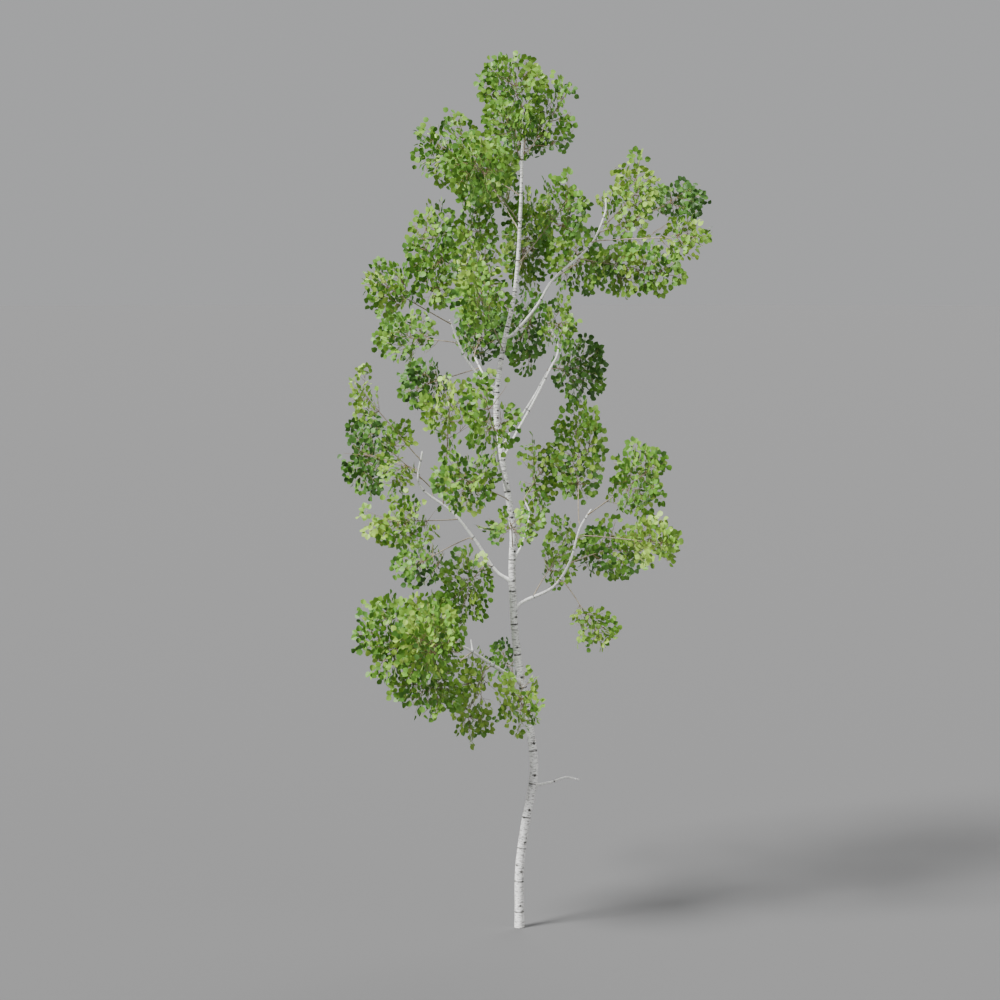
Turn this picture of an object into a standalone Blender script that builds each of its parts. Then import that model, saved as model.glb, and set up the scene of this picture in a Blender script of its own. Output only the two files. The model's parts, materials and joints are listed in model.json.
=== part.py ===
"""Young aspen tree, six metres tall, rooted in level ground.

A slender white trunk runs whole from the flat cut at the ground up into the top of the crown.
Boughs leave it on all sides. Each mass of foliage is one stem that branches into twigs, with
leaves fused on. Units are metres, +Z is up, and the origin is the middle of the trunk's cut.
"""

import math
import random

import bmesh
import bpy
from mathutils import Matrix, Vector
from mathutils.bvhtree import BVHTree
from mathutils.geometry import interpolate_bezier

TREE_NAME = "aspen_tree"
GAP = 0.0003  # between a limb and what grows from it
ROOM = 0.0012  # how much larger a leaf or twig is taken to be when its room is tested
OWN_ROOM = 0.012  # round its root, where a shoot may cut what it grows from
WELD = 0.00001

# Trunk: an upright foot, then a slow weave up to the tip.
TRUNK_RADIUS = 0.032
TRUNK_TIP_RADIUS = 0.0045
TRUNK_TAPER = 0.62  # power of the share of the trunk that is left
FLARE = 0.0035  # extra radius at the ground
FLARE_HEIGHT = 0.09
TRUNK_SIDES = 16
TRUNK_PIECES = 2  # straight pieces between two points of the way
TRUNK_FOOT = 0.04
TRUNK_WAY = (
    (0.000, 0.000, TRUNK_FOOT),
    (0.000, 0.000, 0.40),
    (0.035, 0.010, 0.70),
    (0.100, 0.030, 1.10),
    (0.053, 0.035, 1.50),
    (-0.026, 0.010, 2.00),
    (-0.053, -0.020, 2.50),
    (-0.049, -0.030, 2.80),
    (-0.111, -0.020, 3.20),
    (-0.161, 0.010, 3.60),
    (-0.117, 0.035, 4.00),
    (-0.034, 0.030, 4.40),
    (0.002, 0.000, 4.90),
    (0.020, -0.020, 5.60),
)

# Boughs: height on the trunk, radius there, radius at the tip, and the way outwards.
BOUGH_SIDES = 6
BOUGH_PIECES = 2
BOUGHS = {
    "bough_low_bare": (
        *(0.99, 0.012, 0.005),
        ((0.22, -0.03, 1.03), (0.32, -0.06, 1.07), (0.41, -0.10, 1.06)),
    ),
    "bough_low_left": (
        *(1.71, 0.015, 0.007),
        ((-0.19, -0.16, 1.87), (-0.34, -0.34, 2.00), (-0.43, -0.48, 2.06)),
    ),
    "bough_left": (
        *(2.42, 0.0125, 0.006),
        (
            *((-0.16, 0.00, 2.49), (-0.29, -0.04, 2.69), (-0.46, -0.10, 2.91)),
            *((-0.68, -0.15, 3.10), (-0.66, -0.17, 3.33)),
        ),
    ),
    "bough_right": (
        *(2.22, 0.012, 0.006),
        (
            *((0.02, -0.01, 2.28), (0.23, -0.05, 2.39), (0.34, -0.06, 2.56)),
            *((0.41, -0.03, 2.79), (0.49, 0.00, 2.92)),
        ),
    ),
    "bough_shoot": (
        *(2.55, 0.009, 0.006),
        ((0.01, 0.06, 2.66), (0.07, 0.16, 2.86), (0.04, 0.20, 2.95)),
    ),
    "bough_high_left": (
        *(3.73, 0.0105, 0.0055),
        ((-0.24, 0.00, 3.79), (-0.37, 0.03, 3.95), (-0.48, 0.05, 4.21)),
    ),
    "bough_mid_right": (
        *(3.25, 0.010, 0.006),
        (
            *((-0.03, -0.04, 3.43), (0.10, -0.06, 3.67), (0.20, -0.04, 3.87)),
            *((0.26, -0.02, 4.01), (0.20, 0.00, 4.17)),
        ),
    ),
    "bough_high_right": (
        *(4.09, 0.011, 0.0055),
        (
            *((-0.05, -0.02, 4.11), (0.11, -0.08, 4.30), (0.22, -0.10, 4.48)),
            *((0.47, -0.08, 4.71), (0.57, -0.05, 4.92), (0.58, -0.04, 5.03)),
        ),
    ),
    "bough_back_high": (3.63, 0.010, 0.006, ((-0.21, 0.24, 3.74), (-0.31, 0.52, 3.93))),
    "bough_back_mid": (
        *(3.25, 0.010, 0.006),
        ((-0.09, 0.22, 3.38), (0.09, 0.46, 3.64), (0.20, 0.62, 3.83)),
    ),
    "bough_front": (3.05, 0.010, 0.006, ((-0.14, -0.28, 3.25), (-0.16, -0.55, 3.44))),
}

# Masses: the limb, the place on it (metres up the trunk, or share of the bough), then the middle
# and the half-sizes (across, deep, high) of the mass's own space.
MASSES = {
    "crown_tip": ("trunk", 5.60, (-0.06, 0.00, 5.79), (0.27, 0.21, 0.24)),
    "crown_right": ("trunk", 5.32, (0.24, 0.06, 5.62), (0.19, 0.18, 0.31)),
    "heart_front": ("trunk", 5.28, (-0.09, -0.24, 5.53), (0.20, 0.18, 0.19)),
    "heart_back": ("trunk", 5.22, (0.04, 0.26, 5.48), (0.19, 0.19, 0.21)),
    "left_plume": ("trunk", 5.04, (-0.50, 0.02, 5.36), (0.26, 0.19, 0.29)),
    "upper_front": ("trunk", 4.86, (-0.28, -0.52, 5.23), (0.28, 0.24, 0.27)),
    "upper_back": ("trunk", 4.80, (-0.23, 0.56, 5.18), (0.28, 0.24, 0.28)),
    "left_outer": ("trunk", 4.34, (-0.57, -0.30, 4.65), (0.22, 0.22, 0.41)),
    "left_inner": ("trunk", 4.26, (-0.30, 0.28, 4.70), (0.19, 0.22, 0.41)),
    "front_high": ("trunk", 3.99, (-0.27, -0.76, 4.39), (0.23, 0.22, 0.25)),
    "right_inner": ("trunk", 4.59, (0.29, -0.34, 4.98), (0.22, 0.22, 0.27)),
    "back_upper": ("trunk", 4.44, (0.06, 0.64, 4.74), (0.21, 0.24, 0.42)),
    "right_mid": ("bough_high_right", 0.45, (0.42, 0.44, 4.60), (0.26, 0.19, 0.28)),
    "right_crown": ("bough_high_right", 0.85, (0.75, 0.08, 5.03), (0.25, 0.22, 0.38)),
    "right_back_wing": ("bough_high_right", 0.80, (1.11, 0.60, 5.02), (0.23, 0.22, 0.18)),
    "right_front_wing": ("bough_high_right", 0.74, (1.09, -0.42, 4.77), (0.21, 0.19, 0.17)),
    "right_skirt": ("bough_high_right", 0.62, (0.81, -0.16, 4.55), (0.36, 0.22, 0.22)),
    "inner_drop": ("bough_high_right", 0.20, (0.04, 0.30, 4.11), (0.19, 0.18, 0.34)),
    "mid_right_tip": ("bough_mid_right", 1.00, (0.27, -0.20, 4.19), (0.16, 0.17, 0.23)),
    "back_high": ("bough_back_high", 1.00, (-0.26, 0.80, 4.12), (0.23, 0.24, 0.28)),
    "far_left_high": ("bough_high_left", 0.95, (-0.88, -0.28, 4.43), (0.21, 0.22, 0.24)),
    "left_fan": ("bough_high_left", 0.70, (-0.78, 0.32, 4.08), (0.27, 0.22, 0.21)),
    "far_left_wisp": ("bough_left", 0.95, (-1.05, -0.20, 3.72), (0.12, 0.15, 0.23)),
    "back_left": ("bough_back_high", 0.80, (-0.68, 0.78, 3.72), (0.21, 0.24, 0.23)),
    "left_bright": ("bough_left", 0.62, (-0.47, -0.46, 3.61), (0.23, 0.19, 0.27)),
    "front_mid": ("bough_front", 1.00, (-0.20, -0.80, 3.62), (0.22, 0.22, 0.35)),
    "left_heart": ("trunk", 2.97, (-0.37, -0.62, 3.18), (0.27, 0.22, 0.26)),
    "back_round": ("bough_back_mid", 1.00, (0.44, 0.95, 3.83), (0.23, 0.26, 0.27)),
    "right_column": ("bough_right", 0.85, (0.41, 0.34, 3.29), (0.22, 0.22, 0.41)),
    "right_plume": ("bough_right", 0.95, (0.79, -0.36, 3.16), (0.25, 0.22, 0.30)),
    "shoot_tip": ("bough_shoot", 1.00, (0.13, 0.46, 3.10), (0.18, 0.19, 0.36)),
    "front_low": ("trunk", 2.65, (-0.06, -0.78, 2.89), (0.25, 0.20, 0.16)),
    "right_skirt_low": ("bough_right", 0.55, (0.64, 0.34, 2.61), (0.29, 0.22, 0.26)),
    "right_inner_low": ("bough_right", 0.18, (0.28, 0.16, 2.61), (0.15, 0.18, 0.30)),
    "right_tip_low": ("bough_right", 0.75, (0.90, -0.52, 2.75), (0.20, 0.22, 0.22)),
    "right_drop": ("bough_right", 0.40, (0.50, -0.44, 2.16), (0.20, 0.18, 0.17)),
    "back_low": ("trunk", 1.64, (-0.10, 0.30, 1.84), (0.14, 0.15, 0.17)),
    "far_left_back": ("bough_left", 0.86, (-1.08, 0.62, 3.24), (0.22, 0.24, 0.34)),
    "left_spike": ("bough_left", 0.70, (-0.83, -0.16, 3.29), (0.16, 0.16, 0.35)),
    "left_wing": ("bough_left", 0.50, (-0.80, -0.42, 2.88), (0.33, 0.19, 0.21)),
    "left_under": ("bough_left", 0.33, (-0.71, 0.60, 2.47), (0.22, 0.21, 0.20)),
    "left_low": ("bough_left", 0.15, (-0.37, -0.16, 2.41), (0.22, 0.19, 0.32)),
    "low_left_outer": ("bough_low_left", 1.00, (-0.89, -0.50, 2.11), (0.25, 0.26, 0.34)),
    "low_left_front": ("bough_low_left", 0.90, (-0.61, -0.76, 2.12), (0.26, 0.24, 0.33)),
    "low_left_back": ("bough_low_left", 0.81, (-0.60, -0.21, 2.12), (0.26, 0.23, 0.31)),
    "low_left_under": ("bough_low_left", 0.72, (-0.63, -0.50, 1.74), (0.29, 0.27, 0.21)),
    "low_drop": ("bough_low_left", 0.40, (-0.31, -0.12, 1.64), (0.20, 0.19, 0.39)),
    "trunk_front_low": ("trunk", 1.47, (0.00, -0.30, 1.65), (0.19, 0.18, 0.28)),
}

# Shoots: a stem, a twig and a leaf's stalk are all three-sided and end in one leaf. A stem
# leaves its limb at a wide angle, or goes on past the tip.
SHOOT_SIDES = 3
STEM_RADII = (0.005, 0.005, 0.0045, 0.003)
STEM_START = 0.06
STEM_SPREAD = math.radians(55)  # from the limb's heading
TIP_START = 0.02
TWIG_RADII = (0.0026, 0.0026)
STALK_RADII = (0.0014, 0.0024)
SHORTEST_STALK = 0.015
LONGEST_STALK = 0.09  # a longer one is a twig, and carries others
ROOT_SHARES = (0.1, 0.3, 0.5, 0.7, 0.9)  # of a twig's length, where others may leave it
STRAIGHT_WORTH = 1.6  # how much a root well behind its place counts against a near one

# Places: where the leaves' tips reach to, in a spiral round the surface of the space.
PLACE_TURN = math.radians(137.5)
PLACE_AREA = 0.057  # square metres of the surface for one leaf
PLACES_BACK = -0.75  # where the spiral ends, from 1 at the stem's own leaf to -1 behind it
PLACES_IN = 0.89  # share of the space's half-sizes
AREA_POWER = 1.6075  # of Thomsen's formula for the surface of an ellipsoid

# Leaves: thickest at the stalk, with a thin rim. They are larger than life, because each stands
# for a spray of about eight of the real ones.
LEAF_LENGTH = 0.14
FULL_LEAF_ROOM = 0.20  # half-size of a space whose leaves have their full length
LEAF_OUTLINE = ((0.20, -0.40), (0.68, -0.44), (1.0, 0.0), (0.68, 0.44), (0.20, 0.40))
LEAF_TILT = math.radians(35)
LEAF_TURNS = (0, 40, -40, 80, -80)  # degrees, tried in turn where there is no room
LEVEL_HEADING = 0.05  # least share across for a heading that isn't straight up or down

BARK_COLOUR = (0.66, 0.65, 0.61)
LIMB_COLOUR = (0.60, 0.58, 0.52)
LEAF_COLOUR = (0.24, 0.40, 0.08)
LEAF_TINT = 0.05
BARK_ROUGHNESS = 0.75
LEAF_ROUGHNESS = 0.5


def clear_scene():
    for item in list(bpy.data.objects):
        bpy.data.objects.remove(item)


def new_collection(name):
    collection = bpy.data.collections.new(name)
    bpy.context.scene.collection.children.link(collection)
    return collection


def finish(name, colour, roughness):
    material = bpy.data.materials.new(name)
    material.use_nodes = True
    shader = material.node_tree.nodes["Principled BSDF"]
    shader.inputs["Base Color"].default_value = (*colour, 1.0)
    shader.inputs["Roughness"].default_value = roughness
    shader.inputs["Metallic"].default_value = 0.0
    material.diffuse_color = (*colour, 1.0)
    return material


def slope(knots, place):
    """The direction of the smooth way at one of its knots."""
    first = max(place - 1, 0)
    last = min(place + 1, len(knots) - 1)
    run = sum((knots[i + 1] - knots[i]).length for i in range(first, last))
    return (knots[last] - knots[first]) / run


def smooth_way(knots, pieces):
    """Points of a smooth curve through the knots, with so many straight pieces between two."""
    knots = [Vector(knot) for knot in knots]
    points = [knots[0]]
    for i in range(len(knots) - 1):
        near, far = knots[i], knots[i + 1]
        third = (far - near).length / 3
        leave = near + slope(knots, i) * third
        arrive = far - slope(knots, i + 1) * third
        points += interpolate_bezier(near, leave, arrive, far, pieces + 1)[1:]
    return points


def at_height(points, height):
    """The point and heading of a rising way at one height."""
    for near, far in zip(points, points[1:]):
        if far.z >= height:
            share = (height - near.z) / (far.z - near.z)
            return near.lerp(far, share), (far - near).normalized()
    return points[-1].copy(), (points[-1] - points[-2]).normalized()


def at_share(points, share):
    """The point and heading at a share of a way's length."""
    left = share * sum((far - near).length for near, far in zip(points, points[1:]))
    for near, far in zip(points, points[1:]):
        length = (far - near).length
        if left <= length:
            return near.lerp(far, left / length), (far - near).normalized()
        left -= length
    return points[-1].copy(), (points[-1] - points[-2]).normalized()


def trunk_radius(height):
    left = max(1 - height / TRUNK_WAY[-1][2], 0.0)
    taper = TRUNK_TIP_RADIUS + (TRUNK_RADIUS - TRUNK_TIP_RADIUS) * left**TRUNK_TAPER
    return taper + FLARE * math.exp(-height / FLARE_HEIGHT)


def plan_trunk():
    points = [Vector((0, 0, 0)), *smooth_way(TRUNK_WAY, TRUNK_PIECES)]
    return points, [trunk_radius(point.z) for point in points]


def plan_bough(trunk_points, height, start_radius, tip_radius, way):
    root, _ = at_height(trunk_points, height)
    points = smooth_way((root, *way), BOUGH_PIECES)
    last = len(points) - 1
    radii = [start_radius + (tip_radius - start_radius) * i / last for i in range(last + 1)]
    return points, radii


class Builder:
    """Makes meshes from curves and Booleans, with helper objects that don't outlive it."""

    def __init__(self, collection):
        self.helpers = collection
        self.profiles = {}

    def helper(self, name, data):
        item = bpy.data.objects.new(name, data)
        item.hide_render = True
        item.display_type = "WIRE"
        self.helpers.objects.link(item)
        return item

    def profile(self, sides):
        """A unit polygon that a tube is swept with."""
        if sides not in self.profiles:
            curve = bpy.data.curves.new(f"profile_{sides}", "CURVE")
            curve.dimensions = "2D"
            curve.fill_mode = "NONE"
            spline = curve.splines.new("POLY")
            spline.points.add(sides - 1)
            spline.use_cyclic_u = True
            for i, point in enumerate(spline.points):
                angle = -2 * math.pi * i / sides
                point.co = (math.cos(angle), math.sin(angle), 0, 1)
            self.profiles[sides] = self.helper(curve.name, curve)
        return self.profiles[sides]

    def evaluated(self, item):
        depsgraph = bpy.context.evaluated_depsgraph_get()
        return bpy.data.meshes.new_from_object(item.evaluated_get(depsgraph))

    def tube(self, name, points, radii, sides):
        """A closed, tapering tube through the points."""
        curve = bpy.data.curves.new(name, "CURVE")
        curve.dimensions = "3D"
        curve.bevel_mode = "OBJECT"
        curve.bevel_object = self.profile(sides)
        curve.use_fill_caps = True
        spline = curve.splines.new("POLY")
        spline.points.add(len(points) - 1)
        for spot, point, radius in zip(spline.points, points, radii):
            spot.co = (*point, 1)
            spot.radius = radius
        guide = self.helper(name, curve)
        mesh = self.evaluated(guide)
        bpy.data.objects.remove(guide)
        shell = bmesh.new()
        shell.from_mesh(mesh)
        bmesh.ops.remove_doubles(shell, verts=shell.verts, dist=WELD)
        shell.to_mesh(mesh)
        shell.free()
        return mesh

    def shoot(self, name, points, radii, flat, length, grow=0.0):
        """A three-sided tube whose far end opens into a leaf: the hull of its ring and its rim."""
        mesh = self.tube(name, points, [radius + grow for radius in radii], SHOOT_SIDES)
        tip = points[-1]
        heading = (tip - points[-2]).normalized()
        side = flat.cross(heading)
        body = bmesh.new()
        body.from_mesh(mesh)
        cap = min(body.faces, key=lambda face: (face.calc_center_median() - tip).length)
        ring = list(cap.verts)
        bmesh.ops.delete(body, geom=[cap], context="FACES_ONLY")
        length += grow
        rim = [body.verts.new(tip + (heading * u + side * v) * length) for u, v in LEAF_OUTLINE]
        bmesh.ops.convex_hull(body, input=ring + rim)
        inner = [face for face in body.faces if set(face.verts) == set(ring)]
        bmesh.ops.delete(body, geom=inner, context="FACES_ONLY")
        body.to_mesh(mesh)
        body.free()
        return mesh

    def cut(self, mesh, cutter_mesh):
        """The mesh without what lies in the cutter."""
        body = self.helper("body", mesh)
        cutter = self.helper("cutter", cutter_mesh)
        boolean = body.modifiers.new("cut", "BOOLEAN")
        boolean.operation = "DIFFERENCE"
        boolean.object = cutter
        result = largest_shell(self.evaluated(body))
        bpy.data.objects.remove(body)
        bpy.data.objects.remove(cutter)
        return result

    def joined(self, name, mesh, others):
        """The union of a mesh with a collection of others."""
        body = self.helper(name, mesh)
        pieces = bpy.data.collections.new(f"{name}_pieces")
        for other in others:
            pieces.objects.link(bpy.data.objects.new(f"{name}_piece", other))
        boolean = body.modifiers.new("join", "BOOLEAN")
        boolean.operation = "UNION"
        boolean.operand_type = "COLLECTION"
        boolean.collection = pieces
        result = largest_shell(self.evaluated(body))
        for piece in list(pieces.objects):
            bpy.data.objects.remove(piece)
        bpy.data.collections.remove(pieces)
        bpy.data.objects.remove(body)
        return result


def largest_shell(mesh):
    """Keeps the main shell: a loose scrap and the wall of a sealed hollow are dropped."""
    body = bmesh.new()
    body.from_mesh(mesh)
    unseen = set(body.verts)
    shells = []
    while unseen:
        shell = {unseen.pop()}
        edge = list(shell)
        while edge:
            vert = edge.pop()
            fresh = {e.other_vert(vert) for e in vert.link_edges} - shell
            shell |= fresh
            edge += fresh
        unseen -= shell
        shells.append(shell)
    shells.sort(key=len)
    for shell in shells[:-1]:
        bmesh.ops.delete(body, geom=list(shell), context="VERTS")
    body.to_mesh(mesh)
    body.free()
    return mesh


class Space:
    """The room of one mass: an ellipsoid that its twigs and leaves stay inside."""

    def __init__(self, centre, half):
        self.centre = Vector(centre)
        self.half = Vector(half)
        self.leaf_size = min(1.0, min(half) / FULL_LEAF_ROOM)
        self.leaf_length = LEAF_LENGTH * self.leaf_size

    def scaled(self, vector):
        return Vector(value / half for value, half in zip(vector, self.half))

    def area(self):
        """Surface of the ellipsoid, by Thomsen's formula."""
        x, y, z = (half**AREA_POWER for half in self.half)
        return 4 * math.pi * ((x * y + x * z + y * z) / 3) ** (1 / AREA_POWER)

    def holds(self, point):
        return self.scaled(point - self.centre).length <= 1.0

    def reach(self, point, heading):
        """How far the space goes on from a point, along a heading."""
        start = self.scaled(point - self.centre)
        run = self.scaled(heading)
        square = run.length_squared
        middle = start.dot(run)
        inside = middle**2 - square * (start.length_squared - 1)
        return (math.sqrt(max(inside, 0.0)) - middle) / square


def upright_face(heading, tilt):
    """The side of a leaf that hangs in an upright plane along its heading, but for the tilt."""
    face = heading.cross(Vector((0, 0, 1)))
    if face.length < LEVEL_HEADING:
        face = heading.cross(Vector((0, 1, 0)))
    return Matrix.Rotation(tilt, 3, heading) @ face.normalized()


def plan_stem(limb_points, on_trunk, place, space):
    """The stem's way: out of its limb at a wide angle, to the middle of the space, and on."""
    if on_trunk:
        at_tip = place == TRUNK_WAY[-1][2]
        root, along = at_height(limb_points, place)
    else:
        at_tip = place == 1.0
        root, along = at_share(limb_points, place)
    heading = (space.centre - root).normalized()
    if at_tip:
        root = root + along * GAP
        start = root + along * TIP_START
    else:
        outwards = (heading - along * heading.dot(along)).normalized()
        leave = along * math.cos(STEM_SPREAD) + outwards * math.sin(STEM_SPREAD)
        start = root + leave * STEM_START
    heading = (space.centre - start).normalized()
    reach = space.reach(space.centre, heading) * PLACES_IN - space.leaf_length
    end = space.centre + heading * max(reach, SHORTEST_STALK)
    return [root, start, space.centre.copy(), end]


def plan_places(stem, space, chance):
    """Where the leaves of a mass reach to: even round its space, but for where it is entered."""
    heading = (stem[3] - stem[2]).normalized()
    side = heading.orthogonal().normalized()
    other = heading.cross(side)
    count = round(space.area() / (PLACE_AREA * space.leaf_size))
    turn = chance.uniform(0, 2 * math.pi)
    places = []
    for i in range(1, count):
        forward = 1 - (1 - PLACES_BACK) * i / (count - 1)
        ring = math.sqrt(1 - forward**2)
        angle = turn + PLACE_TURN * i
        around = side * math.cos(angle) + other * math.sin(angle)
        unit = heading * forward + around * ring
        places.append(space.centre + unit * space.half * PLACES_IN)
    return places


def plan_shoots(stem, space, chance):
    """A mass's twigs and stalks: root, tip, tilt, and which earlier shoot each leaves from.

    A shoot leaves from the point of the stem and twigs that is near its place and behind it.
    """
    ways = [(stem[1], stem[2], None), (stem[2], stem[3], None)]
    shoots = []
    for place in plan_places(stem, space, chance):
        best = None
        for near, far, parent in ways:
            along = (far - near).normalized()
            for share in ROOT_SHARES:
                root = near.lerp(far, share)
                run = place - root
                if run.length < space.leaf_length + SHORTEST_STALK:
                    continue
                cost = run.length * (STRAIGHT_WORTH - along.dot(run.normalized()))
                if best is None or cost < best[0]:
                    best = (cost, root, parent)
        tilt = chance.uniform(-LEAF_TILT, LEAF_TILT)
        if best:
            root, parent = best[1:]
            tip = place + (root - place).normalized() * space.leaf_length
            if (tip - root).length > LONGEST_STALK:
                ways.append((root, tip, len(shoots)))
            shoots.append((root, tip, tilt, parent))
    return shoots


class Neighbours:
    """Every piece set so far, for the test that a new one touches none of the others."""

    def __init__(self):
        self.pieces = []

    def tree(self, mesh):
        corners = [vert.co for vert in mesh.vertices]
        faces = [tuple(face.vertices) for face in mesh.polygons]
        middle = sum(corners, Vector()) / len(corners)
        radius = max((corner - middle).length for corner in corners)
        return middle, radius, BVHTree.FromPolygons(corners, faces)

    def add(self, owner, mesh):
        self.pieces.append((owner, *self.tree(mesh)))

    def touched(self, mesh, owner, root):
        """Whether the mesh cuts a piece, other than its own mass's where it is rooted."""
        middle, radius, tree = self.tree(mesh)
        for other_owner, other_middle, other_radius, other in self.pieces:
            if (middle - other_middle).length > radius + other_radius:
                continue
            for face, _ in tree.overlap(other):
                corners = [mesh.vertices[i].co for i in mesh.polygons[face].vertices]
                near_root = any((corner - root).length < OWN_ROOM for corner in corners)
                if other_owner != owner or not near_root:
                    return True
        return False


def grown(radii, extra):
    return [radius + extra for radius in radii]


def add_node(collection, name, mesh, material):
    mesh.name = name
    mesh.materials.clear()
    mesh.materials.append(material)
    node = bpy.data.objects.new(name, mesh)
    collection.objects.link(node)
    return node


def build_limbs(builder, collection, neighbours):
    """The trunk and boughs. Each bough is cut 0.3 mm clear of the trunk's side."""
    trunk = plan_trunk()
    limbs = {"trunk": trunk}
    mesh = builder.tube("trunk", *trunk, TRUNK_SIDES)
    neighbours.add("trunk", mesh)
    add_node(collection, "trunk", mesh, finish("trunk_bark", BARK_COLOUR, BARK_ROUGHNESS))
    for name, sizes in BOUGHS.items():
        points, radii = plan_bough(trunk[0], *sizes)
        limbs[name] = (points, radii)
        bough = builder.tube(name, points, radii, BOUGH_SIDES)
        around = builder.tube("around", trunk[0], grown(trunk[1], GAP), TRUNK_SIDES)
        bough = builder.cut(bough, around)
        neighbours.add(name, bough)
        add_node(collection, name, bough, finish(f"{name}_bark", LIMB_COLOUR, BARK_ROUGHNESS))
    return limbs


def build_stem(builder, name, limbs, row, space, tilt):
    """The stem's way and its mesh, cut clear of its limb unless it starts past the tip."""
    limb, place = row[:2]
    points, radii = limbs[limb]
    stem = plan_stem(points, limb == "trunk", place, space)
    face = upright_face((stem[3] - stem[2]).normalized(), tilt)
    mesh = builder.shoot(f"{name}_stem", stem, STEM_RADII, face, space.leaf_length)
    if (stem[0] - points[-1]).length > 2 * GAP:
        sides = TRUNK_SIDES if limb == "trunk" else BOUGH_SIDES
        around = builder.tube("around", points, grown(radii, GAP), sides)
        mesh = builder.cut(mesh, around)
    return stem, mesh


def grow_shoots(builder, name, stem, space, neighbours, chance):
    """The twigs and leaves of one mass. One with no room at any turn is left out, and its own."""
    pieces = []
    missing = set()
    for i, (root, tip, tilt, parent) in enumerate(plan_shoots(stem, space, chance)):
        if parent in missing:
            missing.add(i)
            continue
        heading = (tip - root).normalized()
        radii = TWIG_RADII if (tip - root).length > LONGEST_STALK else STALK_RADII
        for turn in LEAF_TURNS:
            face = upright_face(heading, tilt + math.radians(turn))
            wide = builder.shoot("shoot", [root, tip], radii, face, space.leaf_length, ROOM)
            inside = all(space.holds(vert.co) for vert in wide.vertices)
            if inside and not neighbours.touched(wide, name, root):
                break
        else:
            missing.add(i)
            continue
        shoot = builder.shoot("shoot", [root, tip], radii, face, space.leaf_length)
        neighbours.add(name, shoot)
        pieces.append(shoot)
    return pieces


def build_masses(builder, collection, limbs, neighbours):
    """All the stems are set first, so that no mass's leaves grow across another's stem."""
    stems = {}
    for seed, (name, row) in enumerate(MASSES.items()):
        chance = random.Random(seed)
        space = Space(*row[2:])
        tilt = chance.uniform(-LEAF_TILT, LEAF_TILT)
        stem, mesh = build_stem(builder, name, limbs, row, space, tilt)
        neighbours.add(name, mesh)
        stems[name] = (stem, mesh, space, chance)
    for name, (stem, mesh, space, chance) in stems.items():
        pieces = grow_shoots(builder, name, stem, space, neighbours, chance)
        body = builder.joined(name, mesh, pieces)
        tint = chance.uniform(-LEAF_TINT, LEAF_TINT)
        colour = [value + tint for value in LEAF_COLOUR]
        add_node(collection, name, body, finish(f"{name}_leaves", colour, LEAF_ROUGHNESS))


clear_scene()
tree_parts = new_collection(TREE_NAME)
helper_parts = new_collection("helpers")
maker = Builder(helper_parts)
placed = Neighbours()
limb_ways = build_limbs(maker, tree_parts, placed)
build_masses(maker, tree_parts, limb_ways, placed)
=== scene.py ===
import json
import math
import random

import bmesh
import bpy
import numpy as np
from mathutils import Matrix, Vector, noise
from mathutils.geometry import interpolate_bezier

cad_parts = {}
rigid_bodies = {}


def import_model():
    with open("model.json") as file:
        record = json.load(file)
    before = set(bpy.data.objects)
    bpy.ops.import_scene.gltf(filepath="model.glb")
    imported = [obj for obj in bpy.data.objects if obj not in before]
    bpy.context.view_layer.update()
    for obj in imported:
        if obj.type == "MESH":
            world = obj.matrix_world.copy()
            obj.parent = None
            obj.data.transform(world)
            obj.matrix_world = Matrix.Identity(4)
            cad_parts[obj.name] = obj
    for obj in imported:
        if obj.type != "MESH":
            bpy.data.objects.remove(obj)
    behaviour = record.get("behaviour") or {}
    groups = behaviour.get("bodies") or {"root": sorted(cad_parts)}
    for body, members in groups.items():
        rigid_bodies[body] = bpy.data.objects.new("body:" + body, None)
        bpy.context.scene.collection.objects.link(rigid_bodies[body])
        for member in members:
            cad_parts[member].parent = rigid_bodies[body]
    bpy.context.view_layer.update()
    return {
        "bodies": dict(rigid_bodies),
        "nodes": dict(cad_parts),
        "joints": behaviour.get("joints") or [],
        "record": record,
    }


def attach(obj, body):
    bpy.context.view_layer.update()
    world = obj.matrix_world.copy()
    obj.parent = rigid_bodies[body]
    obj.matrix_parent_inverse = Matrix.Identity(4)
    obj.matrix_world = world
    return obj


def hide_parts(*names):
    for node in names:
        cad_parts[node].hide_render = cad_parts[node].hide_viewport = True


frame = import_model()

# ----------------------------------------
# Camera, floor and lights. The tree is seen from a little under its top, eighteen metres away,
# with a long lens, on a plain grey studio floor that runs out into soft grey air.

CAMERA_PLACE = (-0.135, -18.0, 4.80)
CAMERA_DIP = 5.77  # degrees below level
LENS = 95.36  # millimetres, on a sensor 36 mm wide
FLOOR_RADIUS = 160.0
FLOOR_GREY = (0.119, 0.119, 0.119, 1.0)
AIR_GREY = (0.42, 0.424, 0.43, 1.0)


def add_object(name, data):
    """A new object in the scene, at the origin."""
    made = bpy.data.objects.new(name, data)
    bpy.context.scene.collection.objects.link(made)
    return made


def set_inputs(node, inputs):
    """Gives a shader node's inputs plain values, or joins other nodes' outputs to them."""
    for name, value in inputs.items():
        if isinstance(value, bpy.types.NodeSocket):
            node.id_data.links.new(value, node.inputs[name])
        else:
            node.inputs[name].default_value = value


camera_data = bpy.data.cameras.new("camera")
camera_data.sensor_width = 36.0
camera_data.lens = LENS
camera_data.clip_end = 500.0
camera = add_object("camera", camera_data)
camera.location = CAMERA_PLACE
camera.rotation_euler = (math.radians(90.0 - CAMERA_DIP), 0.0, 0.0)
bpy.context.scene.camera = camera

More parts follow.
